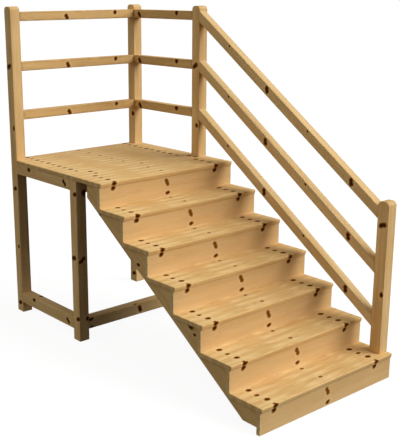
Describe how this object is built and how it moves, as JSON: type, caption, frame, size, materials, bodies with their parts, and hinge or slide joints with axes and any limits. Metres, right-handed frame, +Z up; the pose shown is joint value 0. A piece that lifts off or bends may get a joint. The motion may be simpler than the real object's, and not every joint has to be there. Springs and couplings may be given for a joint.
{
  "type": "wooden deck stairs with landing and guard rail",
  "caption": "Straight closed-riser timber stair climbing to a square landing on posts, with a post and rail guard on the back and one side.",
  "frame": {"origin": "on the ground under the middle of the whole object", "axes": "+X towards the guarded side, -Y towards the foot of the flight, +Z up"},
  "size_m": [1.2, 2.645, 2.318],
  "materials": {
    "post_timber": "planed softwood with a clear satin oil, knots showing",
    "rail_timber": "planed softwood with a clear satin oil, knots showing",
    "frame_timber": "planed softwood with a clear satin oil, knots showing",
    "stringer_timber": "planed softwood with a clear satin oil, knots showing",
    "riser_timber": "planed softwood with a clear satin oil, knots showing",
    "tread_boards": "planed softwood with a clear satin oil, knots showing"
  },
  "bodies": {
    "root": {"back_joist": "frame_timber", "back_left_post": "post_timber", "back_rail_bottom": "rail_timber", "back_rail_middle": "rail_timber", "back_rail_top": "rail_timber", "back_right_post": "post_timber", "front_bearer_left": "frame_timber", "front_bearer_right": "frame_timber", "front_ground_rail": "rail_timber", "front_joist": "frame_timber", "front_left_post": "post_timber", "front_right_post": "post_timber", "inner_joist_left": "frame_timber", "inner_joist_right": "frame_timber", "landing_deck": "tread_boards", "left_ground_rail": "rail_timber", "left_joist": "frame_timber", "left_stringer": "stringer_timber", "newel_post": "post_timber", "right_joist": "frame_timber", "right_stringer": "stringer_timber", "riser_1": "riser_timber", "riser_2": "riser_timber", "riser_3": "riser_timber", "riser_4": "riser_timber", "riser_5": "riser_timber", "riser_6": "riser_timber", "riser_7": "riser_timber", "side_rail_bottom": "rail_timber", "side_rail_middle": "rail_timber", "side_rail_top": "rail_timber", "stair_rail_bottom": "rail_timber", "stair_rail_middle": "rail_timber", "stair_rail_top": "rail_timber", "tread_1": "tread_boards", "tread_2": "tread_boards", "tread_3": "tread_boards", "tread_4": "tread_boards", "tread_5": "tread_boards", "tread_6": "tread_boards"}
  },
  "joints": []
}
